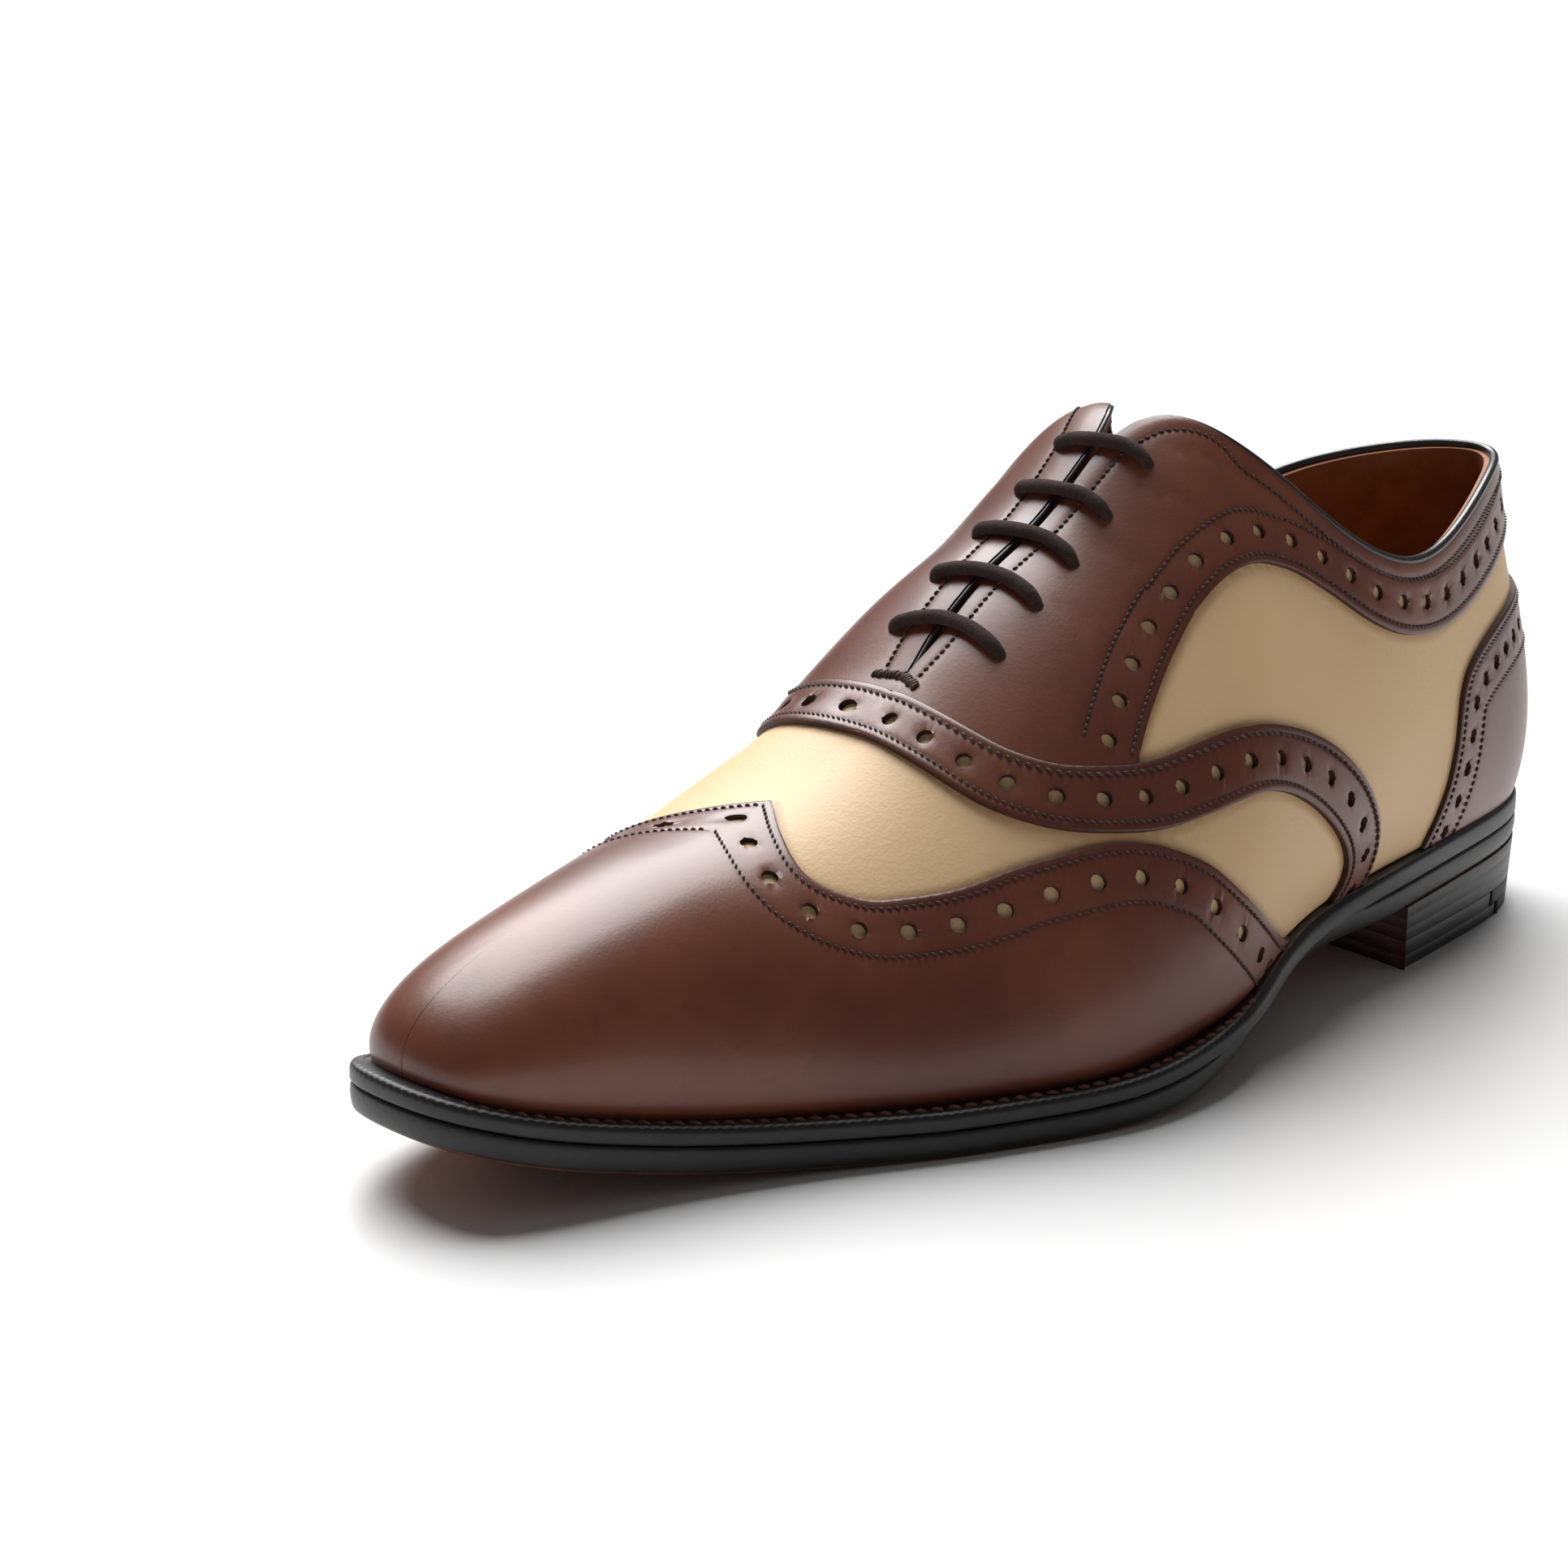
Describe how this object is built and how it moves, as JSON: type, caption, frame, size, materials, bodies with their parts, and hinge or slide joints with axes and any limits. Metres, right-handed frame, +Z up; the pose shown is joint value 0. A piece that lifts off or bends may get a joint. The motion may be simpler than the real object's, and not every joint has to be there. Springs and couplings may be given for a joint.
{
  "type": "shoe",
  "caption": "Left welted lace-up dress shoe in two leathers: wing cap, punched strips, closed facings laced over a tongue, stacked heel. Empty, standing on its sole.",
  "frame": {"origin": "centre of the bounding box, on the floor", "axes": "toe towards -X, outer side towards -Y, +Z up"},
  "size_m": [0.3024, 0.1056, 0.1155],
  "materials": {
    "cream_calf": "fine grain",
    "brown_calf": "burnished",
    "sole_leather": "black edge, waxed",
    "insole_leather": "plain",
    "heel_rubber": "matt",
    "binding": "glossy",
    "lace": "round cord"
  },
  "bodies": {
    "root": {"outsole": "sole_leather", "welt": "sole_leather", "heel_stack": "sole_leather", "top_piece": "sole_leather", "heel_rubber": "heel_rubber", "insole": "insole_leather", "upper": "cream_calf", "wing_cap": "brown_calf", "vamp_strip": "brown_calf", "facing_lateral": "brown_calf", "facing_medial": "brown_calf", "counter": "brown_calf", "back_strap": "brown_calf", "topline_binding": "binding", "tongue": "brown_calf", "lace_bar_1": "lace", "lace_bar_2": "lace", "lace_bar_3": "lace", "lace_bar_4": "lace", "lace_bar_5": "lace"}
  },
  "joints": []
}
